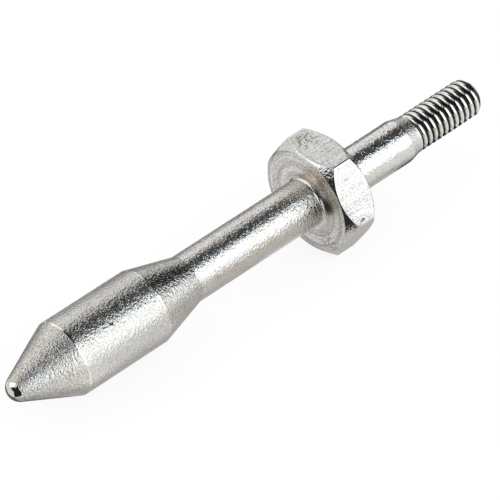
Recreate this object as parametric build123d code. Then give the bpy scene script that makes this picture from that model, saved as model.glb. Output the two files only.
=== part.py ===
from build123d import *
from math import cos, radians, sin, tan
import os

# A guide pin turned in one piece from hexagonal bar. Sizes are in millimetres
# and angles in degrees. The pin lies along X, with its rounded tip towards -X
# and its threaded end towards +X, and one flat of the collar faces down. The
# origin is on the axis, in the plane of the collar's back face, which seats
# on whatever the pin is screwed into.

# Guide head: rounded tip, nose cone, cylinder and back cone
tip_radius = 1.37
nose_half_angle = 24.5
head_diameter = 7.7
head_length = 9.7
back_half_angle = 15.2
head_edge_radius = 0.4

# Slim neck between the head and the collar
neck_diameter = 4.9
neck_length = 15.34
neck_blend_radius = 0.5
neck_root_radius = 0.25

# Hexagonal collar, with a turned chamfer on both faces. The bar is drawn with
# slightly rounded corners.
across_flats = 11.0
bar_corner_radius = 0.25
collar_thickness = 3.76
chamfer_face_inset = 0.09
chamfer_angle = 44.0

# Shank behind the collar, and its taper down to the threaded stud
shank_diameter = 4.55
shank_length = 8.2
taper_length = 1.35

# Threaded stud, drawn plain at the thread's outside diameter
thread_diameter = 3.95
stud_length = 8.45
end_chamfer = 0.55

# How far the turned blank stands proud of the bar's corners
bar_clearance = 0.05

# Radii that follow from the diameters
head_radius = head_diameter / 2
neck_radius = neck_diameter / 2
shank_radius = shank_diameter / 2
stud_radius = thread_diameter / 2

# The chamfers start inside the flats and run out past the bar's corners
face_radius = across_flats / 2 - chamfer_face_inset
blank_radius = across_flats / 2 / cos(radians(30)) + bar_clearance
chamfer_drop = (blank_radius - face_radius) * tan(radians(chamfer_angle))

# The tip is a ball that the nose cone touches
nose_angle = radians(nose_half_angle)
ball_to_apex = tip_radius / sin(nose_angle)
nose_length = head_radius / tan(nose_angle) - ball_to_apex + tip_radius
back_length = (head_radius - neck_radius) / tan(radians(back_half_angle))

# Places along the axis, from the collar's back face to each end
collar_front = -collar_thickness
neck_start = collar_front - neck_length
head_end = neck_start - back_length
head_start = head_end - head_length
tip_end = head_start - nose_length
shank_end = shank_length
stud_start = shank_end + taper_length
stud_end = stud_start + stud_length

# Where the ball of the tip meets the nose cone
ball_centre = tip_end + tip_radius
ball_meets_nose = (
    ball_centre - tip_radius * sin(nose_angle),
    tip_radius * cos(nose_angle),
)

# Half of the turned outline, from the tip to the end of the stud. Each corner
# is a point and the radius that rounds it, and 0 leaves it sharp.
corners = [
    ((head_start, head_radius), head_edge_radius),
    ((head_end, head_radius), head_edge_radius),
    ((neck_start, neck_radius), neck_blend_radius),
    ((collar_front, neck_radius), neck_root_radius),
    ((collar_front, face_radius), 0),
    ((collar_front + chamfer_drop, blank_radius), 0),
    ((-chamfer_drop, blank_radius), 0),
    ((0, face_radius), 0),
    ((0, shank_radius), 0),
    ((shank_end, shank_radius), 0),
    ((stud_start, stud_radius), 0),
    ((stud_end - end_chamfer, stud_radius), 0),
    ((stud_end, stud_radius - end_chamfer), 0),
]
corner_points = [point for point, radius in corners]
corner_radii = [radius for point, radius in corners]

with BuildPart() as pin:
    # Turn the whole outline about the axis
    with BuildSketch(Plane.XY):
        with BuildLine():
            CenterArc((ball_centre, 0), tip_radius, 180, nose_half_angle - 90)
            FilletPolyline(ball_meets_nose, *corner_points, (stud_end, 0), radius=corner_radii)
            Line((stud_end, 0), (tip_end, 0))
        make_face()
    revolve(axis=Axis.X)

    # Only the collar is wide enough to keep the flats of the bar
    with BuildSketch(Plane.YZ.offset(tip_end)) as bar:
        RegularPolygon(across_flats / 2, 6, major_radius=False)
        fillet(bar.vertices(), bar_corner_radius)
    extrude(amount=stud_end - tip_end, mode=Mode.INTERSECT)

os.makedirs("parts", exist_ok=True)
export_step(pin.part, "parts/guide_pin.step")
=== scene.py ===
import bpy
import bmesh
import math
from mathutils import Matrix, Vector


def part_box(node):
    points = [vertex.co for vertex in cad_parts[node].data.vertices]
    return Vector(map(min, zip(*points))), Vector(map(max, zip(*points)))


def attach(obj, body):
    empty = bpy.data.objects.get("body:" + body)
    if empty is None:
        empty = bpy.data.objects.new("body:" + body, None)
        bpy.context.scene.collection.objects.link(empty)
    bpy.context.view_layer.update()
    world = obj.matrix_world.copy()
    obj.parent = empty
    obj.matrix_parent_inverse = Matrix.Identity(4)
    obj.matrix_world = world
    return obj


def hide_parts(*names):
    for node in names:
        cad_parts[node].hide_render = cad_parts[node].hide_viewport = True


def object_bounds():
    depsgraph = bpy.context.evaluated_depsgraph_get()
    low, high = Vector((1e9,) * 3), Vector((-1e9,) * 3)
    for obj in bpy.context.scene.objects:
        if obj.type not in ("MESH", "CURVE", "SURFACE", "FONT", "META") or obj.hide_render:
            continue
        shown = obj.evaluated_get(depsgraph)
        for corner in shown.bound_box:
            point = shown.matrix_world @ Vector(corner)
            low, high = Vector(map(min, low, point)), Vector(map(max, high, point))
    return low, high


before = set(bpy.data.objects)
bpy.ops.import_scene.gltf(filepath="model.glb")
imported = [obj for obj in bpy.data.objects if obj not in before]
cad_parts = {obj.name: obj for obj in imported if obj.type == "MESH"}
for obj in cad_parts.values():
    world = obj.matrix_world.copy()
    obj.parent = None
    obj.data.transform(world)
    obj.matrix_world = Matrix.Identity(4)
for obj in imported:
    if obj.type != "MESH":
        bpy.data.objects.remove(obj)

cadLow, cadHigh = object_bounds()
pinLow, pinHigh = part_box("guide_pin")
perMetre = 1000          # millimetres, in which the pin and its finishes are given
print("guide pin: frame loaded")


# Node helpers

def newTree(name, sockets):
    tree = bpy.data.node_groups.new(name, "GeometryNodeTree")
    tree.interface.new_socket(name="Geometry", in_out="INPUT", socket_type="NodeSocketGeometry")
    tree.interface.new_socket(name="Geometry", in_out="OUTPUT", socket_type="NodeSocketGeometry")
    for socketName, kind, default in sockets:
        socket = tree.interface.new_socket(name=socketName, in_out="INPUT", socket_type=kind)
        socket.default_value = default
    return tree


def feed(tree, value, socket):
    # Links the socket of another node, and sets anything else
    if isinstance(value, bpy.types.NodeSocket):
        tree.links.new(value, socket)
    else:
        socket.default_value = value


def addNode(tree, kind, inputs=None, **settings):
    node = tree.nodes.new(kind)
    for key, value in settings.items():
        setattr(node, key, value)
    for key, value in (inputs or {}).items():
        feed(tree, value, node.inputs[key])
    return node


def calc(tree, operation, *values):
    return addNode(tree, "ShaderNodeMath", dict(enumerate(values)), operation=operation).outputs[0]


def vectorCalc(tree, operation, inputs):
    return addNode(tree, "ShaderNodeVectorMath", inputs, operation=operation)


def scaled(tree, vector, factor):
    return vectorCalc(tree, "SCALE", {0: vector, "Scale": factor}).outputs[0]


def multiplied(tree, first, second):
    return vectorCalc(tree, "MULTIPLY", {0: first, 1: second}).outputs[0]


def fit(tree, value, low, high, toLow=0.0, toHigh=1.0, kind="LINEAR"):
    # Moves a value from one range to another and holds what lies past its ends
    return addNode(tree, "ShaderNodeMapRange", {
        "Value": value, "From Min": low, "From Max": high, "To Min": toLow, "To Max": toHigh,
    }, interpolation_type=kind).outputs[0]


def noise(tree, place, scale, detail=1.0, roughness=0.5):
    return addNode(tree, "ShaderNodeTexNoise", {
        "Vector": place, "Scale": scale, "Detail": detail, "Roughness": roughness,
    }).outputs["Fac"]


def bump(tree, height, depth, normal=None):
    # The depth is in millimetres
    inputs = {"Height": height, "Distance": depth / perMetre, "Strength": 1.0}
    if normal is not None:
        inputs["Normal"] = normal
    return addNode(tree, "ShaderNodeBump", inputs).outputs[0]


# Lathe. Both trees wrap a grid round the axis, one column for each step of the turn.
barSides = 6
halfSide = 1 / (2 * barSides)       # as a part of the whole turn
closeColumns = 3                    # that stand close together on each side of a corner
columnSlack = 0.00001               # so that rounding moves no column off its corner
latheMerge = 0.0004                 # mm, closes the seam and the end that lies on the axis


def gridIndices(tree, segments, rows, cornerTurn):
    # A flat grid of unit squares, whose columns and rows are known from their places. The columns
    # at the corners of the bar stand close together.
    lastRow = calc(tree, "SUBTRACT", rows, 1.0)
    grid = addNode(tree, "GeometryNodeMeshGrid", {
        "Size X": segments, "Size Y": lastRow,
        "Vertices X": calc(tree, "ADD", segments, 1.0), "Vertices Y": rows,
    })
    position = addNode(tree, "GeometryNodeInputPosition").outputs[0]
    place = addNode(tree, "ShaderNodeSeparateXYZ", {0: position}).outputs
    column = calc(tree, "ROUND", calc(tree, "ADD", place[0], calc(tree, "MULTIPLY", segments, 0.5)))
    row = calc(tree, "ROUND", calc(tree, "ADD", place[1], calc(tree, "MULTIPLY", lastRow, 0.5)))
    perSide = calc(tree, "DIVIDE", segments, barSides)
    side = calc(tree, "FLOOR", calc(tree, "DIVIDE", calc(tree, "ADD", column, 0.5), perSide))
    local = calc(tree, "SUBTRACT", column, calc(tree, "MULTIPLY", side, perSide))
    first = calc(tree, "MINIMUM", local, closeColumns)
    lastStart = calc(tree, "SUBTRACT", perSide, closeColumns)
    last = calc(tree, "MAXIMUM", calc(tree, "SUBTRACT", local, lastStart), 0.0)
    close = calc(tree, "ADD", first, last)
    wide = calc(tree, "DIVIDE", calc(tree, "SUBTRACT", local, close),
                calc(tree, "SUBTRACT", perSide, 2 * closeColumns))
    flatTurn = calc(tree, "SUBTRACT", 1 / barSides, calc(tree, "MULTIPLY", cornerTurn, 2.0))
    closeTurn = calc(tree, "MULTIPLY", calc(tree, "DIVIDE", close, closeColumns), cornerTurn)
    inSide = calc(tree, "ADD", closeTurn, calc(tree, "MULTIPLY", wide, flatTurn))
    turn = calc(tree, "ADD", calc(tree, "DIVIDE", side, barSides), inSide)
    offMiddle = calc(tree, "ABSOLUTE", calc(tree, "SUBTRACT", inSide, halfSide))
    return grid.outputs["Mesh"], row, turn, offMiddle


def sampleOutline(tree, geometry, row, attribute=None):
    # The place of this row's point on the outline, or the named attribute that it carries
    if attribute is None:
        kind = "FLOAT_VECTOR"
        value = addNode(tree, "GeometryNodeInputPosition").outputs[0]
    else:
        kind = "FLOAT"
        value = addNode(tree, "GeometryNodeInputNamedAttribute", {"Name": attribute},
                        data_type=kind).outputs[0]
    return addNode(tree, "GeometryNodeSampleIndex", {
        "Geometry": geometry, "Value": value, "Index": row,
    }, data_type=kind, domain="POINT").outputs[0]


def placeOnAxis(tree, mesh, x, radius, turn):
    angle = calc(tree, "MULTIPLY", turn, 2 * math.pi)
    place = addNode(tree, "ShaderNodeCombineXYZ", {
        0: x,
        1: calc(tree, "MULTIPLY", radius, calc(tree, "COSINE", angle)),
        2: calc(tree, "MULTIPLY", radius, calc(tree, "SINE", angle)),
    })
    moved = addNode(tree, "GeometryNodeSetPosition", {
        "Geometry": mesh, "Position": place.outputs[0],
    })
    merged = addNode(tree, "GeometryNodeMergeByDistance", {
        "Geometry": moved.outputs[0], "Distance": latheMerge,
    })
    return merged.outputs[0]


def finishTree(tree, geometry, material):
    realized = addNode(tree, "GeometryNodeRealizeInstances", {"Geometry": geometry})
    painted = addNode(tree, "GeometryNodeSetMaterial", {
        "Geometry": realized.outputs[0], "Material": material,
    })
    out = tree.nodes.new("NodeGroupOutput")
    tree.links.new(painted.outputs[0], out.inputs[0])


def runTree(name, points, attributes, tree, values):
    # The tree works on an outline whose points are known by their order
    mesh = bpy.data.meshes.new(name)
    mesh.from_pydata(points, [], [])
    for key, numbers in attributes.items():
        layer = mesh.attributes.new(key, "FLOAT", "POINT")
        layer.data.foreach_set("value", numbers)
    host = bpy.data.objects.new(name, mesh)
    bpy.context.scene.collection.objects.link(host)
    modifier = host.modifiers.new("shape", "NODES")
    modifier.node_group = tree
    for item in tree.interface.items_tree:
        if item.in_out == "INPUT" and item.name in values:
            modifier[item.identifier] = values[item.name]
    graph = bpy.context.evaluated_depsgraph_get()
    result = bpy.data.meshes.new_from_object(host.evaluated_get(graph), depsgraph=graph)
    bpy.data.objects.remove(host)
    bpy.data.meshes.remove(mesh)
    return result


# Shape of the pin, in millimetres along X from the collar's back face
guidePin = dict(
    turned=dict(
        tipRadius=1.37, noseAngle=24.5, headRadius=3.85, headLength=9.7, headEdge=0.4,
        backAngle=15.2, neckRadius=2.45, neckLength=15.34, neckBlend=0.5, neckRoot=0.25,
        shankRadius=2.275, shankLength=8.2, shankEdge=0.5, taperLength=1.35, studRadius=1.975,
        segments=192,           # columns round the pin, a multiple of the bar's sides
        # Rows of faces along each part and round each rounded corner
        rows=dict(tip=16, nose=8, head=10, back=6, neck=14, face=6, shank=10, taper=3, lead=2,
                  edge=4, root=8, shankEdge=3),
    ),
    collar=dict(
        acrossFlats=11.0, thickness=3.76, faceInset=0.09, chamferAngle=44.0,
        cornerRadius=0.25,      # of the drawn bar
        edgeRound=0.12,         # worn edges, up to about 1.2 times the face's inset
        rows=dict(edge=4, chamfer=3, flat=6),
    ),
    thread=dict(
        pitch=0.7, depth=0.235, crestShare=0.29, rootShare=0.14, crestRound=0.20, rootRound=0.10,
        plainLength=0.05,       # between the taper and the first turn
        runOut=0.25, endChamfer=0.55, phase=0.42,
        rows=dict(arc=4, flank=2),
    ),
)


# Outline of the turned pin

def roundedCorner(before, corner, after, radius, steps):
    # Points of the arc that rounds a corner of the outline
    a = (Vector(before) - Vector(corner)).normalized()
    b = (Vector(after) - Vector(corner)).normalized()
    half = a.angle(b) / 2
    reach = radius / math.tan(half)
    centre = Vector(corner) + (a + b).normalized() * (radius / math.sin(half))
    start = Vector(corner) + a * reach - centre
    end = Vector(corner) + b * reach - centre
    sweep = start.angle_signed(end)
    points = []
    for i in range(steps + 1):
        turned = start.copy()
        turned.rotate(Matrix.Rotation(-sweep * i / steps, 2))
        points.append(tuple(centre + turned))
    return points


def between(start, end, pieces):
    # Points strictly between two corners
    return [tuple(Vector(start).lerp(Vector(end), i / pieces)) for i in range(1, pieces)]


def collarEdges(c):
    # Half of the collar's rows, from its face's circle to its flat, as offsets along X and
    # outwards. The third number is the share of the way from the circle to the flat.
    slope = math.tan(math.radians(c["chamferAngle"]))
    rim = roundedCorner((0, -1), (0, 0), (slope, 1), c["edgeRound"], c["rows"]["edge"])
    edge = roundedCorner((-slope, -1), (0, 0), (1, 0), c["edgeRound"], c["rows"]["edge"])
    half = [(x, y, 0.0) for x, y in rim]
    for i in range(1, c["rows"]["chamfer"]):
        share = i / c["rows"]["chamfer"]
        x, y = Vector(rim[-1]).lerp(Vector(edge[0]), share)
        half.append((x, y, share))
    return half + [(x, y, 1.0) for x, y in edge]


def pinOutline(p, c, t):
    count = p["rows"]
    nose, back = math.radians(p["noseAngle"]), math.radians(p["backAngle"])
    faceRadius = c["acrossFlats"] / 2 - c["faceInset"]
    front = -c["thickness"]
    neckStart = front - p["neckLength"]
    headEnd = neckStart - (p["headRadius"] - p["neckRadius"]) / math.tan(back)
    headStart = headEnd - p["headLength"]
    ballToApex = p["tipRadius"] / math.sin(nose)
    tip = headStart - p["headRadius"] / math.tan(nose) + ballToApex - p["tipRadius"]
    ball = tip + p["tipRadius"]
    studStart = p["shankLength"] + p["taperLength"]
    threadStart = studStart + t["plainLength"]
    rows = []

    def turned(points):
        rows.extend((x, r, 0.0, 0.0) for x, r in points)

    # From the tip to the neck's root
    angles = [(math.pi / 2 - nose) * i / count["tip"] for i in range(count["tip"] + 1)]
    turned([(ball - p["tipRadius"] * math.cos(a), p["tipRadius"] * math.sin(a)) for a in angles])
    noseEnd = (rows[-1][0], rows[-1][1])
    headFront, headBack = (headStart, p["headRadius"]), (headEnd, p["headRadius"])
    neckFront, root = (neckStart, p["neckRadius"]), (front, p["neckRadius"])
    firstEdge = roundedCorner(noseEnd, headFront, headBack, p["headEdge"], count["edge"])
    secondEdge = roundedCorner(headFront, headBack, neckFront, p["headEdge"], count["edge"])
    blend = roundedCorner(headBack, neckFront, root, p["neckBlend"], count["edge"])
    fillet = roundedCorner(neckFront, root, (front, faceRadius), p["neckRoot"], count["root"])
    turned(between(noseEnd, firstEdge[0], count["nose"]) + firstEdge)
    turned(between(firstEdge[-1], secondEdge[0], count["head"]) + secondEdge)
    turned(between(secondEdge[-1], blend[0], count["back"]) + blend)
    turned(between(blend[-1], fillet[0], count["neck"]) + fillet)

    # The collar. The last number is the way the row leans where it grows out to the flat, +1 on the
    # front chamfer and -1 on the back one.
    half = collarEdges(c)
    rimRadius, flatStart = faceRadius + half[0][1], front + half[-1][0]
    turned(between(fillet[-1], (front, rimRadius), count["face"]))
    rows.extend((front + x, faceRadius + y, share, 1.0) for x, y, share in half)
    for i in range(1, c["rows"]["flat"]):
        part = i / c["rows"]["flat"]
        x = flatStart * (1 - part) - half[-1][0] * part
        rows.append((x, faceRadius, 1.0, 1.0 - 2.0 * part))
    rows.extend((-x, faceRadius + y, share, -1.0) for x, y, share in reversed(half))

    # From the collar to the thread
    shankFoot, shankEnd = (0.0, p["shankRadius"]), (p["shankLength"], p["shankRadius"])
    stud, lead = (studStart, p["studRadius"]), (threadStart, p["studRadius"])
    shankEdge = roundedCorner(shankFoot, shankEnd, stud, p["shankEdge"], count["shankEdge"])
    turned(between((0.0, rimRadius), shankFoot, count["face"]) + [shankFoot])
    turned(between(shankFoot, shankEdge[0], count["shank"]) + shankEdge)
    turned(between(shankEdge[-1], stud, count["taper"]) + [stud])
    turned(between(stud, lead, count["lead"]) + [lead])
    marks = dict(tip=tip, headStart=headStart, headEnd=headEnd, neckStart=neckStart,
                 thread=threadStart)
    return rows, marks


def turnedFromBarTree(material):
    tree = newTree("turnedFromBar", [
        ("Segments", "NodeSocketInt", 192), ("Across Flats", "NodeSocketFloat", 11.0),
        ("Corner Radius", "NodeSocketFloat", 0.25), ("Corner Turn", "NodeSocketFloat", 0.003),
        ("Face Radius", "NodeSocketFloat", 5.4), ("Chamfer Slope", "NodeSocketFloat", 0.96),
    ])
    given = tree.nodes.new("NodeGroupInput").outputs
    outline, cornerRadius = given["Geometry"], given["Corner Radius"]
    size = addNode(tree, "GeometryNodeAttributeDomainSize", {"Geometry": outline})
    grid, row, turn, offMiddle = gridIndices(tree, given["Segments"], size.outputs["Point Count"],
                                             given["Corner Turn"])
    place = addNode(tree, "ShaderNodeSeparateXYZ", {0: sampleOutline(tree, outline, row)}).outputs
    share = sampleOutline(tree, outline, row, "share")
    lean = sampleOutline(tree, outline, row, "lean")
    # Distance from the axis to the bar's side in this column, on its flat or on its rounded corner
    inner = calc(tree, "MULTIPLY", given["Across Flats"], 0.5)
    fromMiddle = calc(tree, "MULTIPLY", offMiddle, 2 * math.pi)
    flat = calc(tree, "DIVIDE", inner, calc(tree, "COSINE", fromMiddle))
    centre = calc(tree, "DIVIDE", calc(tree, "SUBTRACT", inner, cornerRadius),
                  math.cos(math.pi / barSides))
    fromCorner = calc(tree, "MULTIPLY", calc(tree, "SUBTRACT", halfSide, offMiddle), 2 * math.pi)
    beside = calc(tree, "MULTIPLY", centre, calc(tree, "SINE", fromCorner))
    squared = calc(tree, "SUBTRACT", calc(tree, "MULTIPLY", cornerRadius, cornerRadius),
                   calc(tree, "MULTIPLY", beside, beside))
    rounded = calc(tree, "ADD", calc(tree, "MULTIPLY", centre, calc(tree, "COSINE", fromCorner)),
                   calc(tree, "SQRT", calc(tree, "MAXIMUM", squared, 0.0)))
    cornerStart = calc(tree, "SUBTRACT", halfSide - columnSlack, given["Corner Turn"])
    onCorner = calc(tree, "GREATER_THAN", offMiddle, cornerStart)
    side = addNode(tree, "ShaderNodeMix", {0: onCorner, 2: flat, 3: rounded}).outputs[0]
    # The row grows out to that side by its share, and leans with the chamfer as it does
    grown = calc(tree, "MULTIPLY", share, calc(tree, "SUBTRACT", side, given["Face Radius"]))
    radius = calc(tree, "ADD", place[1], grown)
    leaning = calc(tree, "MULTIPLY", calc(tree, "MULTIPLY", lean, given["Chamfer Slope"]), grown)
    x = calc(tree, "ADD", place[0], leaning)
    finishTree(tree, placeOnAxis(tree, grid, x, radius, turn), material)
    return tree


leadTurns = 2            # turns that start before the thread and are held flat at its start


def threadTree(material):
    tree = newTree("rolledThread", [
        ("Segments", "NodeSocketInt", 192), ("Rows", "NodeSocketInt", 200),
        ("Pitch", "NodeSocketFloat", 0.7), ("Start", "NodeSocketFloat", 10.0),
        ("End", "NodeSocketFloat", 18.0), ("Outside Radius", "NodeSocketFloat", 2.0),
        ("End Radius", "NodeSocketFloat", 1.3), ("Run Out", "NodeSocketFloat", 0.9),
        ("Phase", "NodeSocketFloat", 0.0), ("Depth", "NodeSocketFloat", 0.43),
        ("Corner Turn", "NodeSocketFloat", 0.003),
    ])
    given = tree.nodes.new("NodeGroupInput").outputs
    outline, start, end = given["Geometry"], given["Start"], given["End"]
    size = addNode(tree, "GeometryNodeAttributeDomainSize", {"Geometry": outline})
    perTurn = size.outputs["Point Count"]
    grid, row, turn = gridIndices(tree, given["Segments"], given["Rows"], given["Corner Turn"])[:3]
    turnsBefore = calc(tree, "FLOOR", calc(tree, "DIVIDE", calc(tree, "ADD", row, 0.5), perTurn))
    rowsBefore = calc(tree, "MULTIPLY", turnsBefore, perTurn)
    inTurn = calc(tree, "ROUND", calc(tree, "SUBTRACT", row, rowsBefore))
    point = sampleOutline(tree, outline, inTurn)
    profile = addNode(tree, "ShaderNodeSeparateXYZ", {0: point}).outputs
    # The rows climb one pitch for each turn, and are held between the two ends
    pitches = calc(tree, "ADD", calc(tree, "ADD", turnsBefore, turn), given["Phase"])
    climb = calc(tree, "MULTIPLY", calc(tree, "SUBTRACT", pitches, leadTurns), given["Pitch"])
    climbed = calc(tree, "ADD", profile[0], climb)
    x = calc(tree, "MINIMUM", calc(tree, "MAXIMUM", calc(tree, "ADD", start, climbed), start), end)
    # Along the run-out the groove is lifted out of the bar, and the end chamfer cuts the crests off
    gone = calc(tree, "DIVIDE", calc(tree, "SUBTRACT", x, start), given["Run Out"])
    toGo = calc(tree, "SUBTRACT", 1.0, fit(tree, gone, 0.0, 1.0))
    lift = calc(tree, "MULTIPLY", given["Depth"], toGo)
    groove = calc(tree, "MAXIMUM", calc(tree, "SUBTRACT", profile[1], lift), 0.0)
    cut = calc(tree, "SUBTRACT", given["Outside Radius"], groove)
    chamfer = calc(tree, "ADD", given["End Radius"], calc(tree, "SUBTRACT", end, x))
    radius = calc(tree, "MINIMUM", cut, chamfer)
    # The last row closes the end
    beforeLast = calc(tree, "LESS_THAN", row, calc(tree, "SUBTRACT", given["Rows"], 1.5))
    closed = calc(tree, "MULTIPLY", radius, beforeLast)
    finishTree(tree, placeOnAxis(tree, grid, x, closed, turn), material)
    return tree


def threadProfile(t):
    # One pitch from the middle of a crest to the next: rounded crest, flank, rounded root, flank.
    # Points hold the place along the pin and the groove's depth.
    pitch, depth, count = t["pitch"], t["depth"], t["rows"]
    crest, root = t["crestShare"] * pitch, t["rootShare"] * pitch
    flank = (pitch - crest - root) / 2
    corners = [(0, 0), (crest / 2, 0), (crest / 2 + flank, depth), (pitch / 2, depth)]
    half = [corners[0]] + roundedCorner(*corners[:3], t["crestRound"], count["arc"])
    rootArc = roundedCorner(*corners[1:4], t["rootRound"], count["arc"])
    half += between(half[-1], rootArc[0], count["flank"]) + rootArc
    other = [(pitch - x, y) for x, y in reversed(half)]
    return half + other[:-1]


seam = dict(merge=0.0006, thin=0.0002)       # mm, where the body meets the thread


def joinMeshes(name, meshes):
    whole = bmesh.new()
    for mesh in meshes:
        whole.from_mesh(mesh)
    bmesh.ops.remove_doubles(whole, verts=whole.verts, dist=seam["merge"])
    bmesh.ops.dissolve_degenerate(whole, dist=seam["thin"], edges=whole.edges)
    bmesh.ops.recalc_face_normals(whole, faces=whole.faces)
    loose = [edge for edge in whole.edges if len(edge.link_faces) != 2]
    print("guide pin: open or doubled edges", len(loose), "faces", len(whole.faces))
    mesh = bpy.data.meshes.new(name)
    whole.to_mesh(mesh)
    whole.free()
    for polygon in mesh.polygons:
        polygon.use_smooth = True
    return mesh


# Steel. Lengths of a finish are in millimetres, and each finish has its own grain and marks. The
# tool marks run round the pin, in rings round its face or along the bar.
steelColour = (0.60, 0.592, 0.580)
finishes = dict(
    tumbledSkin=dict(
        grain=0.20, detail=2.0, grainHeight=0.070, marks=0.05, markHeight=0.0012, pits=0.09,
        roughness=0.17, dents=0.26, dentDepth=0.016, tint=(0.95, 0.95, 0.94)),
    turnedBack=dict(
        grain=0.20, detail=2.0, grainHeight=0.060, marks=0.05, markHeight=0.0012, pits=0.14,
        roughness=0.15, dents=0.26, dentDepth=0.014, tint=(0.92, 0.92, 0.91)),
    roughNeck=dict(
        grain=0.20, detail=2.0, grainHeight=0.056, marks=0.05, markHeight=0.0012, pits=0.09,
        roughness=0.15, dents=0.25, dentDepth=0.015, tint=(1.05, 1.05, 1.04)),
    turnedNose=dict(
        grain=0.17, detail=2.0, grainHeight=0.056, marks=0.10, markHeight=0.016, pits=0.20,
        roughness=0.14, dents=0.23, dentDepth=0.018, tint=(0.94, 0.94, 0.925)),
    smoothShank=dict(
        grain=0.16, detail=1.0, grainHeight=0.024, marks=0.05, markHeight=0.0012, pits=0.07,
        roughness=0.07, dents=0.23, dentDepth=0.016, tint=(1.07, 1.08, 1.09)),
    roughTaper=dict(
        grain=0.13, detail=1.0, grainHeight=0.060, marks=0.05, markHeight=0.003, pits=0.10,
        roughness=0.30),
    facedSteel=dict(
        grain=0.22, detail=2.0, grainHeight=0.040, marks=0.12, markHeight=0.013, pits=0.19,
        roughness=0.22, path="rings", streaks=0.14, stain=0.4, tint=(1.06, 1.052, 1.035)),
    turnedChamfer=dict(
        grain=0.18, detail=0.5, grainHeight=0.040, marks=0.08, markHeight=0.003, pits=0.08,
        roughness=0.14, stain=0.4, tint=(1.08, 1.10, 1.13)),
    drawnFlats=dict(
        grain=0.22, detail=2.0, grainHeight=0.024, marks=0.15, markHeight=0.020, pits=0.13,
        roughness=0.17, path="along", streaks=0.055, stain=0.5, tint=(1.0, 1.0, 0.99)),
    rolledThread=dict(
        grain=0.20, detail=0.0, grainHeight=0.003, marks=0.06, markHeight=0.0005, pits=0.03,
        roughness=0.09, tint=(1.15, 1.15, 1.15),
        paintedGrooveShade=dict(low=1.79, high=1.91, shade=0.04)),      # painted shade in the grooves, by radius
    polishedTip=dict(
        grain=0.5, detail=1.0, grainHeight=0.016, marks=0.1, markHeight=0.0003, pits=0.03,
        roughness=0.07),
    wornEdge=dict(
        grain=0.3, detail=0.0, grainHeight=0.003, marks=0.06, markHeight=0.0005, pits=0.02,
        roughness=0.06, tint=(1.08, 1.08, 1.08)),
)
# What all finishes share. A range is the part of a noise that the pattern uses.
pattern = dict(
    grainStretch=(1.15, 0.8, 0.8), grainRoughness=0.6,
    squash=dict(round=(1.0, 0.06, 0.06), rings=(1.0, 0.05, 0.05), along=(0.08, 1.0, 1.0)),
    dentRange=(0.50, 0.62),
    pitScale=1.3, pitRange=(0.32, 0.62), pitLight=0.5,
    stainScale=0.8, stainDetail=2.0, stainRange=(0.35, 0.68), stainShade=(0.03, 0.07, 0.13),
    streakScale=0.3, streakDetail=2.0, streakRange=(0.35, 0.65),
    speckRange=(0.54, 0.64), markCore=0.3,
    dullRange=(0.3, 0.7), dullShare=0.25,
)
# Single marks of wear and of painted light, each at its place in millimetres: clusters of specks,
# or one pit, spot, patch or glint. The spot beside the neck's root is painted shade, and the glint
# on the face is a painted highlight. A shade over 1 is lighter than the steel round it.
wearAndPaintedLight = dict(
    brownSpecks=dict(finish="drawnFlats", at=(-2.0, 1.6, 5.5), reach=1.7, specks=0.28,
                     hollow=0.02, shade=(0.66, 0.57, 0.48)),
    cornerPit=dict(finish="drawnFlats", at=(-2.06, -6.1, 0.43), reach=0.22, hollow=0.05,
                   shade=(0.30, 0.29, 0.28)),
    cornerSpecks=dict(finish="drawnFlats", at=(-2.5, -6.1, 0.40), reach=0.6, specks=0.16,
                      hollow=0.03, shade=(0.40, 0.37, 0.34)),
    flatScratch=dict(finish="drawnFlats", at=(-2.1, -3.9, 4.24), reach=0.5, specks=0.25,
                     hollow=0.01, shade=(0.72, 0.66, 0.60)),
    # Painted shade on the face, beside the neck's root
    paintedRootShade=dict(finish="facedSteel", at=(-3.76, -2.95, 1.15), reach=1.2, hollow=0.0,
                  shade=(0.15, 0.12, 0.11)),
    brownPatch=dict(finish="facedSteel", at=(-3.76, -2.0, 3.0), reach=3.4, hollow=0.0,
                    shade=(1.0, 0.94, 0.85)),
    faceSpecks=dict(finish="facedSteel", at=(-3.76, -3.0, -3.2), reach=1.7, specks=0.24,
                    hollow=0.03, shade=(0.35, 0.29, 0.25)),
    # Painted highlight on the face, near the top of the neck's root
    paintedFaceHighlight=dict(finish="facedSteel", at=(-3.76, -1.36, 3.46), reach=0.8, hollow=0.0,
                   shade=(1.42, 1.36, 1.22)),
    headPit=dict(finish="tumbledSkin", at=(-29.8, -2.22, 3.14), reach=0.26, hollow=0.06,
                 shade=(0.55, 0.55, 0.55)),
)


def addWearAndPaintedLight(tree, mark, millimetres, paint, normal):
    # Shades and hollows the steel within reach of the mark's place, for marks of wear and for
    # painted shade and highlights
    away = vectorCalc(tree, "DISTANCE", {0: millimetres, 1: mark["at"]}).outputs["Value"]
    amount = fit(tree, away, mark["reach"], mark["reach"] * pattern["markCore"], kind="SMOOTHSTEP")
    if "specks" in mark:
        specks = noise(tree, millimetres, 1 / mark["specks"])
        amount = calc(tree, "MULTIPLY", amount, fit(tree, specks, *pattern["speckRange"]))
    markedPaint = multiplied(tree, paint, mark["shade"])
    mixed = addNode(tree, "ShaderNodeMix", {0: amount, 6: paint, 7: markedPaint}, data_type="RGBA")
    return mixed.outputs[2], bump(tree, calc(tree, "SUBTRACT", 1.0, amount), mark["hollow"], normal)


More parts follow.
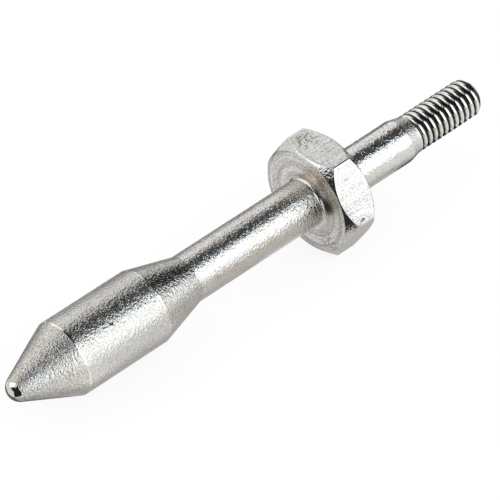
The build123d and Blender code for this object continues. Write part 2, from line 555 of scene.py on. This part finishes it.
def makeSteel(name, f):
    steel = bpy.data.materials.new(name)
    steel.use_nodes = True
    tree = steel.node_tree
    shader = tree.nodes["Principled BSDF"]
    shader.inputs["Metallic"].default_value = 1.0
    millimetres = scaled(tree, tree.nodes.new("ShaderNodeTexCoord").outputs["Object"], perMetre)
    # Fine tumbled grain, a little longer round the pin than along it
    stretched = multiplied(tree, millimetres, pattern["grainStretch"])
    grain = noise(tree, stretched, 1 / f["grain"], f["detail"], pattern["grainRoughness"])
    # Tool marks, drawn out along their path
    path = f.get("path", "round")
    x, y, z = addNode(tree, "ShaderNodeSeparateXYZ", {0: millimetres}).outputs
    across = calc(tree, "SQRT", calc(tree, "ADD", calc(tree, "MULTIPLY", y, y),
                                     calc(tree, "MULTIPLY", z, z)))
    lane = addNode(tree, "ShaderNodeCombineXYZ", {0: across if path == "rings" else x, 1: y, 2: z})
    line = multiplied(tree, lane.outputs[0], pattern["squash"][path])
    normal = bump(tree, noise(tree, line, 1 / f["marks"]), f["markHeight"])
    normal = bump(tree, grain, f["grainHeight"], normal)
    if "dents" in f:
        # Small dents with steep sides, which glint in the dark reflections
        dents = noise(tree, stretched, 1 / f["dents"])
        normal = bump(tree, fit(tree, dents, *pattern["dentRange"]), f["dentDepth"], normal)
    # Pits and the faint warm stain of a part that has been handled
    pits = noise(tree, millimetres, pattern["pitScale"] / f["grain"])
    factor = fit(tree, pits, *pattern["pitRange"], 1.0 - 2 * f["pits"],
                 1.0 + f["pits"] * pattern["pitLight"])
    bare = [a * b for a, b in zip(steelColour, f.get("tint", (1.0, 1.0, 1.0)))]
    warm = [a * (1 - f.get("stain", 1.0) * b) for a, b in zip(bare, pattern["stainShade"])]
    stain = noise(tree, millimetres, pattern["stainScale"], pattern["stainDetail"])
    colour = addNode(tree, "ShaderNodeMix", {
        0: fit(tree, stain, *pattern["stainRange"]), 6: (*bare, 1), 7: (*warm, 1),
    }, data_type="RGBA")
    if "streaks" in f:
        # Wider streaks of tarnish along the tool marks
        wide = noise(tree, line, pattern["streakScale"] / f["marks"], pattern["streakDetail"])
        streak = fit(tree, wide, *pattern["streakRange"], 1.0 - 2 * f["streaks"],
                     1.0 + f["streaks"])
        factor = calc(tree, "MULTIPLY", factor, streak)
    # Painted shade in the thread's grooves, darker towards the root, by radius
    if "paintedGrooveShade" in f:
        paintedGrooveShade = f["paintedGrooveShade"]
        grooveShadeFactor = fit(tree, across, paintedGrooveShade["low"], paintedGrooveShade["high"], paintedGrooveShade["shade"], 1.0, kind="SMOOTHSTEP")
        factor = calc(tree, "MULTIPLY", factor, grooveShadeFactor)
    paint = scaled(tree, colour.outputs[2], factor)
    for mark in wearAndPaintedLight.values():
        if mark["finish"] == name:
            paint, normal = addWearAndPaintedLight(tree, mark, millimetres, paint, normal)
    dull = fit(tree, grain, *pattern["dullRange"], f["roughness"] * (1 - pattern["dullShare"]),
               f["roughness"] * (1 + pattern["dullShare"]))
    feed(tree, paint, shader.inputs["Base Color"])
    feed(tree, normal, shader.inputs["Normal"])
    feed(tree, dull, shader.inputs["Roughness"])
    return steel


steels = {name: makeSteel(name, f) for name, f in finishes.items()}
print("guide pin: steels done")

# How far a finish reaches, in millimetres, and how near a face's direction comes to its own
finishReach = dict(tip=0.75, headEdge=0.085, shankEdge=0.06, root=0.02, seat=0.001,
                   faceLean=0.99, chamferLean=0.05, flatLean=0.05, flatDegrees=1)


def finishOf(place, normal, p, c, marks):
    # Which finish a face of the pin has, from its place in millimetres and its direction
    x, across = place[0], math.hypot(place[1], place[2])
    lean = abs(normal[0])
    front, root = -c["thickness"], p["neckRadius"] + p["neckRoot"]
    near = finishReach
    if x < marks["tip"] + near["tip"]:
        return "polishedTip"
    if x > marks["thread"]:
        return "facedSteel" if normal[0] > near["faceLean"] else "rolledThread"
    if front - near["seat"] < x < near["seat"] and across > root + near["root"]:
        if lean > near["faceLean"]:
            return "facedSteel"
        if abs(lean - math.cos(math.radians(c["chamferAngle"]))) < near["chamferLean"]:
            return "turnedChamfer"
        perSide = 360 / barSides
        offMiddle = abs(math.degrees(math.atan2(normal[2], normal[1])) % perSide - perSide / 2)
        onFlat = lean < near["flatLean"] and offMiddle < near["flatDegrees"]
        return "drawnFlats" if onFlat else "wornEdge"
    if front - p["neckRoot"] - near["root"] < x < 0:
        return "wornEdge"
    if min(abs(x - marks["headStart"]), abs(x - marks["headEnd"])) < near["headEdge"]:
        return "wornEdge"
    if abs(x - p["shankLength"]) < near["shankEdge"]:
        return "wornEdge"
    if x < marks["headStart"]:
        return "turnedNose"
    if marks["headEnd"] < x < marks["neckStart"]:
        return "turnedBack"
    if x > p["shankLength"]:
        return "roughTaper"
    if x > marks["neckStart"]:
        return "smoothShank" if x > 0 else "roughNeck"
    return "tumbledSkin"


def makePin(shape):
    p, c, t = shape["turned"], shape["collar"], shape["thread"]
    rows, marks = pinOutline(p, c, t)
    threadEnd = pinHigh[0] * perMetre
    print("guide pin: tip", round(marks["tip"], 3), "frame", round(pinLow[0] * perMetre, 3),
          "rows", len(rows))
    half = c["acrossFlats"] / 2
    toCorner = math.atan((half - c["cornerRadius"]) / half * math.tan(math.pi / barSides))
    cornerTurn = halfSide - toCorner / (2 * math.pi)
    plain = steels["tumbledSkin"]
    body = runTree(
        "pinBody", [(x, r, 0) for x, r, share, lean in rows],
        {"share": [row[2] for row in rows], "lean": [row[3] for row in rows]},
        turnedFromBarTree(plain),
        {"Segments": p["segments"], "Across Flats": c["acrossFlats"],
         "Corner Radius": c["cornerRadius"], "Corner Turn": cornerTurn,
         "Face Radius": half - c["faceInset"],
         "Chamfer Slope": math.tan(math.radians(c["chamferAngle"]))},
    )
    profile = threadProfile(t)
    turns = math.ceil((threadEnd - marks["thread"]) / t["pitch"]) + leadTurns + 1
    thread = runTree(
        "pinThread", [(x, r, 0) for x, r in profile], {}, threadTree(plain),
        {"Segments": p["segments"], "Rows": turns * len(profile) + 1, "Pitch": t["pitch"],
         "Start": marks["thread"], "End": threadEnd, "Outside Radius": p["studRadius"],
         "End Radius": p["studRadius"] - t["endChamfer"], "Run Out": t["runOut"],
         "Phase": t["phase"], "Depth": t["depth"], "Corner Turn": cornerTurn},
    )
    print("guide pin: body faces", len(body.polygons), "thread faces", len(thread.polygons))
    mesh = joinMeshes("guidePin", [body, thread])
    order = list(steels)
    mesh.materials.clear()
    for name in order:
        mesh.materials.append(steels[name])
    for polygon in mesh.polygons:
        polygon.material_index = order.index(finishOf(polygon.center, polygon.normal, p, c, marks))
    mesh.transform(Matrix.Scale(1 / perMetre, 4))
    pin = bpy.data.objects.new("guidePin", mesh)
    bpy.context.scene.collection.objects.link(pin)
    return pin


def shadeEvenly(pin):
    # Weighted normals keep the flats and cones even, and stay in the mesh
    normals = pin.modifiers.new("evenShading", "WEIGHTED_NORMAL")
    normals.keep_sharp = True
    graph = bpy.context.evaluated_depsgraph_get()
    shaded = bpy.data.meshes.new_from_object(pin.evaluated_get(graph), depsgraph=graph)
    pin.modifiers.clear()
    pin.data = shaded


pin = makePin(guidePin)
shadeEvenly(pin)
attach(pin, "root")
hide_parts("guide_pin")
print("guide pin: mesh done")

# Camera of the photograph
photoCamera = dict(
    aim=(-0.0121, -0.00126, 0.0), distance=0.37634, heading=50.337, elevation=42.227,
    roll=3.933, lens=290.08, sensor=36.0, clip=(0.01, 20.0),
)


def makeCamera(c):
    heading, elevation, roll = (math.radians(c[key]) for key in ("heading", "elevation", "roll"))
    ahead = Vector((
        math.cos(heading) * math.cos(elevation), math.sin(heading) * math.cos(elevation),
        -math.sin(elevation),
    ))
    data = bpy.data.cameras.new("photoCamera")
    data.lens, data.sensor_width = c["lens"], c["sensor"]
    data.clip_start, data.clip_end = c["clip"]
    camera = bpy.data.objects.new("photoCamera", data)
    camera.location = Vector(c["aim"]) - ahead * c["distance"]
    level = ahead.to_track_quat("-Z", "Y").to_matrix()
    camera.rotation_euler = (level @ Matrix.Rotation(-roll, 3, "Z")).to_euler()
    bpy.context.scene.collection.objects.link(camera)
    bpy.context.scene.camera = camera


makeCamera(photoCamera)
print("guide pin: camera done")

# Studio. Round the pin's axis, 0 degrees is straight up and 90 is level on the camera's side.
studio = dict(
    floorSize=8.0, floorColour=0.9, floorRoughness=0.9, floorGlow=0.85, floorGlowInSteel=0.3,
    skyColour=(1.0, 0.99, 0.975), skyStrength=0.9,
)
softboxes = dict(
    softbox=dict(turn=59, spread=60, reach=0.45, along=(-0.40, 0.95), strength=1.22,
                 colour=(0.86, 0.95, 1.0)),
    coolEdge=dict(turn=28, spread=14, reach=0.44, along=(-0.13, 0.45), strength=0.27,
                  colour=(0.22, 0.62, 1.0)),
    leftSoftbox=dict(turn=-41, spread=70, reach=0.30, along=(-0.9, -0.225), strength=0.95,
                     colour=(0.88, 0.96, 1.0)),
    edgeSoftbox=dict(turn=-46, spread=52, reach=0.40, along=(-0.07, 0.05), strength=0.95,
                     colour=(1.0, 1.0, 1.0)),
    rearSoftbox=dict(turn=-58, spread=46, reach=0.60, along=(0.31, 0.62), strength=0.5,
                     colour=(0.82, 0.93, 1.0)),
)
# Cards that only the steel reflects
cards = dict(
    overheadFlag=dict(turn=-2, spread=50, reach=0.45, along=(-0.13, 1.1), strength=0.09),
    noseFlag=dict(turn=18, spread=54, reach=0.43, along=(-0.25, -0.13), strength=0.03),
    edgeFlag=dict(turn=-8, spread=34, reach=0.44, along=(-0.12, 0.1), strength=0.0),
    edgeFloorCard=dict(outline=((-0.0365, -0.05), (-0.0285, -0.05), (-0.0285, -0.006),
                                (-0.0365, -0.006)), strength=1.3, lift=0.0003),
    backFlag=dict(turn=-8, spread=84, reach=0.43, along=(0.42, 1.1), strength=0.0),
    rearFlag=dict(turn=-42, spread=44, reach=0.45, along=(0.48, 1.5), strength=0.0),
    cameraFlag=dict(turn=78, spread=116, reach=0.9, along=(-2.2, -0.485), strength=0.03),
    endFlag=dict(side=-0.6, turn=82, spread=125, reach=0.9, strength=0.03),
    upperEndFlag=dict(side=-0.6, turn=-25, spread=90, reach=0.33, strength=0.03),
    farEndFlag=dict(side=0.9, turn=-10, spread=220, reach=0.46, strength=0.05),
    tipFlag=dict(side=-0.046, across=(-0.012, -0.0011), top=0.003, strength=0.03),
    collarFlag=dict(side=-0.006, across=(-0.03, -0.0045), low=-0.0034, top=0.005, strength=0.03),
    farFloorCard=dict(outline=((-0.04, 0.013), (0.6, 0.013), (0.6, 0.5), (-0.008, 0.5),
                               (-0.008, 0.05), (-0.014, 0.03), (-0.024, 0.03), (-0.024, 0.1),
                               (-0.04, 0.1)), strength=0.33),
    farWallCard=dict(wall=0.5, along=(-0.01, 0.6), top=0.055, strength=0.4),
    neckCard=dict(wall=-0.05, along=(0.0065, 0.021), top=0.008, strength=0.32),
    farStudCard=dict(outline=((0.0095, 0.013), (0.03, 0.013), (0.03, 0.1), (0.0095, 0.1)),
                     strength=0.12, lift=0.0002),
    faceCard=dict(outline=((-0.0095, -0.003), (-0.004, -0.003), (-0.004, 0.0015),
                           (-0.0095, 0.0015)), strength=0.82, lift=0.0003),
    tipShade=dict(outline=((-0.0455, -0.0008), (-0.031, -0.0008), (-0.031, 0.0129),
                           (-0.0455, 0.0129)), strength=0.18, lift=0.0002),
    studShade=dict(outline=((0.0088, -0.0024), (0.0175, -0.0024), (0.0175, 0.003), (0.0088, 0.003)),
                   strength=0.05, lift=0.0002),
    rearShade=dict(outline=((0.014, 0.002), (0.03, 0.002), (0.03, 0.0129), (0.014, 0.0129)),
                   strength=0.15),
    collarShade=dict(outline=((-0.016, -0.03), (0.006, -0.03), (0.006, -0.006), (-0.016, -0.006)),
                     strength=0.74, colour=(1.0, 0.96, 0.9)),
    pinShade=dict(outline=((-0.045, -0.0055), (0.0119, -0.0055), (0.0119, 0.003), (-0.045, 0.003)),
                  strength=0.62, colour=(1.0, 0.98, 0.96)),
)
cardLift = 0.0001        # of a card above the floor, where it gives no other
wedgeSteps = 12


def faceThePin(thing, c):
    # Turns a card or a lamp round the pin's axis, parallel to it and facing it
    turn = math.radians(c["turn"])
    out = Vector((0, -math.sin(turn), math.cos(turn)))
    thing.location = Vector((sum(c["along"]) / 2, 0, 0)) + out * c["reach"]
    thing.rotation_euler = (turn, 0, 0)
    width = 2 * c["reach"] * math.tan(math.radians(c["spread"] / 2))
    return c["along"][1] - c["along"][0], width


def makeSoftbox(name, c):
    lamp = bpy.data.lights.new(name, "AREA")
    lamp.shape = "RECTANGLE"
    box = bpy.data.objects.new(name, lamp)
    lamp.size, lamp.size_y = faceThePin(box, c)
    lamp.energy = c["strength"] * math.pi * lamp.size * lamp.size_y
    lamp.color = c["colour"]
    box.visible_camera = False
    bpy.context.scene.collection.objects.link(box)


def cardCorners(card, c):
    low = cadLow[2]
    if "outline" in c:
        # It lies on the floor
        return [(x, y, low + c.get("lift", cardLift)) for x, y in c["outline"]]
    if "wall" in c:
        # It stands on the floor along the pin
        (x0, x1), y = c["along"], c["wall"]
        return [(x0, y, low), (x1, y, low), (x1, y, c["top"]), (x0, y, c["top"])]
    if "across" in c:
        # It stands across the axis, on the floor or over it
        x, (y0, y1), low = c["side"], c["across"], c.get("low", low)
        return [(x, y0, low), (x, y1, low), (x, y1, c["top"]), (x, y0, c["top"])]
    if "side" in c:
        # It hangs across the axis, as a wedge of a disc
        first, sweep = math.radians(c["turn"] - c["spread"] / 2), math.radians(c["spread"])
        turns = [first + sweep * i / wedgeSteps for i in range(wedgeSteps + 1)]
        return [(c["side"], 0, 0)] + [
            (c["side"], -math.sin(a) * c["reach"], math.cos(a) * c["reach"]) for a in turns]
    # It hangs beside the pin
    length, width = faceThePin(card, c)
    x, y = length / 2, width / 2
    return [(-x, -y, 0), (x, -y, 0), (x, y, 0), (-x, y, 0)]


def makeCard(name, c):
    mesh = bpy.data.meshes.new(name)
    card = bpy.data.objects.new(name, mesh)
    corners = cardCorners(card, c)
    mesh.from_pydata(corners, [], [tuple(range(len(corners)))])
    paint = bpy.data.materials.new(name)
    paint.use_nodes = True
    tree = paint.node_tree
    tree.nodes.remove(tree.nodes["Principled BSDF"])
    colour = (*c.get("colour", (1.0, 1.0, 1.0)), 1.0)
    glow = addNode(tree, "ShaderNodeEmission", {"Color": colour, "Strength": c["strength"]})
    if "across" in c:
        # Clear from behind, so that it hides nothing from the steel on its other side
        behind = tree.nodes.new("ShaderNodeNewGeometry").outputs["Backfacing"]
        clear = tree.nodes.new("ShaderNodeBsdfTransparent")
        glow = addNode(tree, "ShaderNodeMixShader", {
            0: behind, 1: glow.outputs[0], 2: clear.outputs[0],
        })
    tree.links.new(glow.outputs[0], tree.nodes["Material Output"].inputs["Surface"])
    mesh.materials.append(paint)
    card.visible_camera = False
    card.visible_diffuse = False
    card.visible_shadow = False
    bpy.context.scene.collection.objects.link(card)


def makeFloor(s):
    mesh = bpy.data.meshes.new("studioFloor")
    half, z = s["floorSize"] / 2, cadLow[2]
    corners = [(-half, -half, z), (half, -half, z), (half, half, z), (-half, half, z)]
    mesh.from_pydata(corners, [], [(0, 1, 2, 3)])
    floor = bpy.data.objects.new("studioFloor", mesh)
    bpy.context.scene.collection.objects.link(floor)
    paint = bpy.data.materials.new("paleFloor")
    paint.use_nodes = True
    tree = paint.node_tree
    shader = tree.nodes["Principled BSDF"]
    shader.inputs["Base Color"].default_value = (s["floorColour"],) * 3 + (1,)
    shader.inputs["Roughness"].default_value = s["floorRoughness"]
    shader.inputs["Specular IOR Level"].default_value = 0.0
    # Seen by the camera or in the steel, the floor is nearly white and keeps a faint shadow
    seen = tree.nodes.new("ShaderNodeLightPath").outputs
    inSteel = calc(tree, "MAXIMUM", seen["Is Glossy Ray"], seen["Is Transmission Ray"])
    share = calc(tree, "ADD", calc(tree, "MULTIPLY", seen["Is Camera Ray"], s["floorGlow"]),
                 calc(tree, "MULTIPLY", inSteel, s["floorGlowInSteel"]))
    glow = tree.nodes.new("ShaderNodeEmission")
    mixed = addNode(tree, "ShaderNodeMixShader", {
        0: share, 1: shader.outputs[0], 2: glow.outputs[0],
    })
    tree.links.new(mixed.outputs[0], tree.nodes["Material Output"].inputs["Surface"])
    mesh.materials.append(paint)


def makeStudio(s):
    makeFloor(s)
    world = bpy.data.worlds.new("studioWorld")
    bpy.context.scene.world = world
    world.use_nodes = True
    sky = world.node_tree.nodes["Background"]
    sky.inputs["Color"].default_value = s["skyColour"] + (1,)
    sky.inputs["Strength"].default_value = s["skyStrength"]
    for name, c in softboxes.items():
        makeSoftbox(name, c)
    for name, c in cards.items():
        makeCard(name, c)
    print("guide pin: studio done")


makeStudio(studio)
bpy.context.scene.view_settings.view_transform = "Standard"
print("guide pin: scene done")
